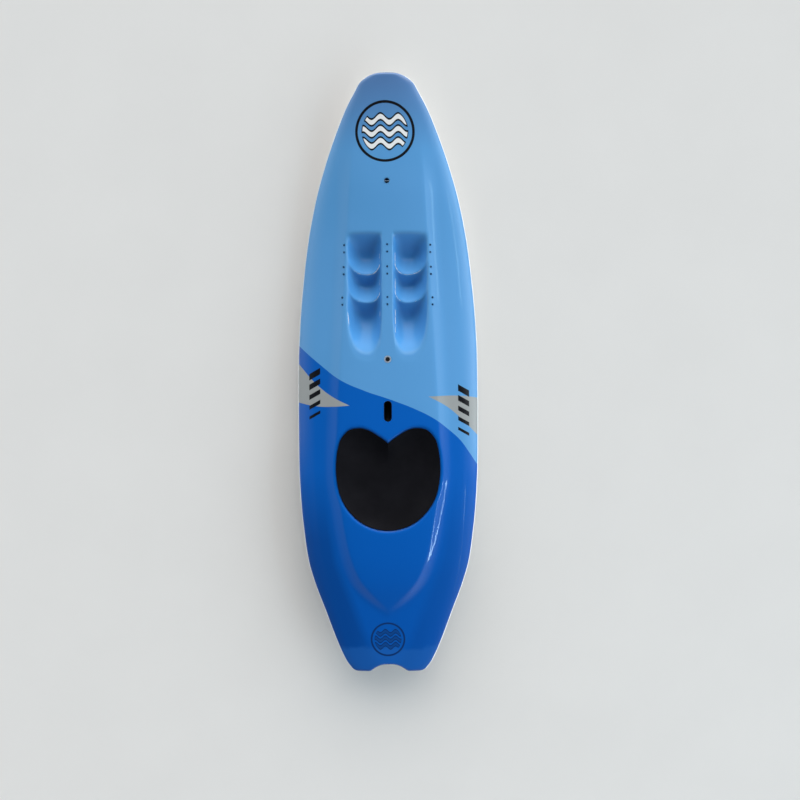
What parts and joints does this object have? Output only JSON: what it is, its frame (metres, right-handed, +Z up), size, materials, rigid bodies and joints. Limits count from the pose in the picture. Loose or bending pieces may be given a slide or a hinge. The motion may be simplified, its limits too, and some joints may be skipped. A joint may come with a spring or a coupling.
{
  "type": "wave ski",
  "caption": "Sit-on surf craft with a blue lacquered deck, stepped foot wells, padded seat bucket, carry handle, leash plug, vent and fins under the tail.",
  "frame": {"origin": "middle of the bounding box, on the ground it rests on", "axes": "+X towards the nose, +Y to the port side, +Z up; the ski lies at rest on its side fins and belly, nose down"},
  "size_m": [2.3036, 0.71, 0.208],
  "materials": {
    "deck_lacquer": "high-gloss clear coat over blue spray paint",
    "hull_lacquer": "glossy white",
    "foam": "open-cell bead foam, matt",
    "stringer_wood": "raw plywood",
    "pad_foam": "matt closed-cell foam with fine grooves",
    "moulded_black": "moulded, lightly grained",
    "insert_black": "moulded, smooth",
    "steel": "turned stainless",
    "seal_rubber": "matt",
    "fin_laminate": "glossy laminate"
  },
  "bodies": {
    "ski": {"deck_shell": "deck_lacquer", "hull_shell": "hull_lacquer", "foam_core_port": "foam", "foam_core_starboard": "foam", "stringer": "stringer_wood", "seat_pad": "pad_foam", "handle_cup": "moulded_black", "strap_insert_01": "insert_black", "strap_insert_02": "insert_black", "strap_insert_03": "insert_black", "strap_insert_04": "insert_black", "strap_insert_05": "insert_black", "strap_insert_06": "insert_black", "strap_insert_07": "insert_black", "strap_insert_08": "insert_black", "strap_insert_09": "insert_black", "strap_insert_10": "insert_black", "strap_insert_11": "insert_black", "strap_insert_12": "insert_black", "strap_insert_13": "insert_black", "strap_insert_14": "insert_black", "strap_insert_15": "insert_black", "strap_insert_16": "insert_black", "strap_insert_17": "insert_black", "strap_insert_18": "insert_black", "leash_plug": "moulded_black", "leash_pin": "steel", "vent_socket": "steel", "port_fin_box": "moulded_black", "port_fin": "fin_laminate", "port_grub_screw_1": "steel", "port_grub_screw_2": "steel", "starboard_fin_box": "moulded_black", "starboard_fin": "fin_laminate", "starboard_grub_screw_1": "steel", "starboard_grub_screw_2": "steel", "centre_fin_box": "moulded_black"},
    "vent": {"vent_plug": "moulded_black", "vent_o_ring": "seal_rubber"},
    "fin": {"centre_fin": "fin_laminate", "fin_screw": "steel", "fin_plate": "steel"}
  },
  "joints": [
    {"name": "vent_screw", "type": "hinge", "parent": "ski", "child": "vent", "pos_m": [0.07488, 0, 0.16428], "axis": [0.0776, 0, 0.997], "continuous": true},
    {"name": "fin_slide", "type": "slide", "parent": "ski", "child": "fin", "axis": [0.9883, 0, -0.1527], "range_m": [-0.05, 0.05]}
  ]
}
